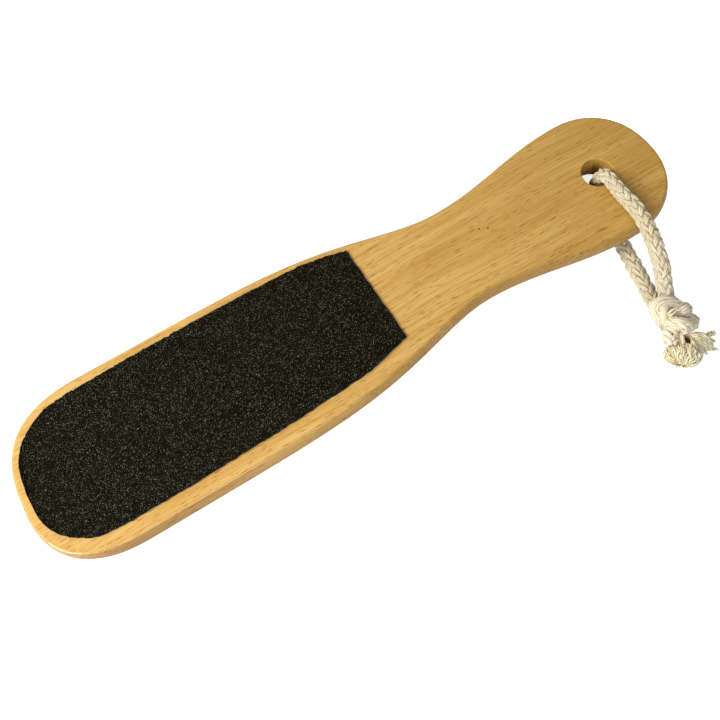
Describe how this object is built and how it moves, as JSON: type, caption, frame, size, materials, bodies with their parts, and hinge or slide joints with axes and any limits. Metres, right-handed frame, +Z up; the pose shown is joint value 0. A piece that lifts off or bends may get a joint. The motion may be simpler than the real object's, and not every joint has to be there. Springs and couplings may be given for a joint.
{
  "type": "foot file",
  "caption": "Wooden paddle foot file with an abrasive sheet on each face, a waisted handle and a knotted hanging cord through a hole.",
  "frame": {"origin": "under the middle of the paddle, at the height of the table it rests on", "axes": "+X from the toe of the blade to the handle end, +Z up; the paddle lies tilted by 1.4 degrees about Y, with its handle raised on the cord"},
  "size_m": [0.265, 0.111, 0.0229],
  "materials": {
    "beech": "varnished, satin",
    "adhesive": "clear yellowish film",
    "backing": "matte black, fibrous edge",
    "coarse_grain": "rough, with a fine sparkle",
    "fine_grain": "fine and rough",
    "cotton": "plaited natural cotton"
  },
  "bodies": {
    "file": {"paddle": "beech", "coarse_adhesive": "adhesive", "coarse_backing": "backing", "coarse_grit": "coarse_grain", "fine_adhesive": "adhesive", "fine_backing": "backing", "fine_grit": "fine_grain"},
    "hanging_cord": {"cord_loop": "cotton", "knot": "cotton", "tail_near": "cotton", "tail_side": "cotton"}
  },
  "joints": [
    {"name": "loop_swing", "type": "hinge", "parent": "file", "child": "hanging_cord", "pos_m": [0.10697, 0, 0.0115], "axis": [-0.0245, 0, 0.9997], "range_deg": [-30, 220]}
  ]
}
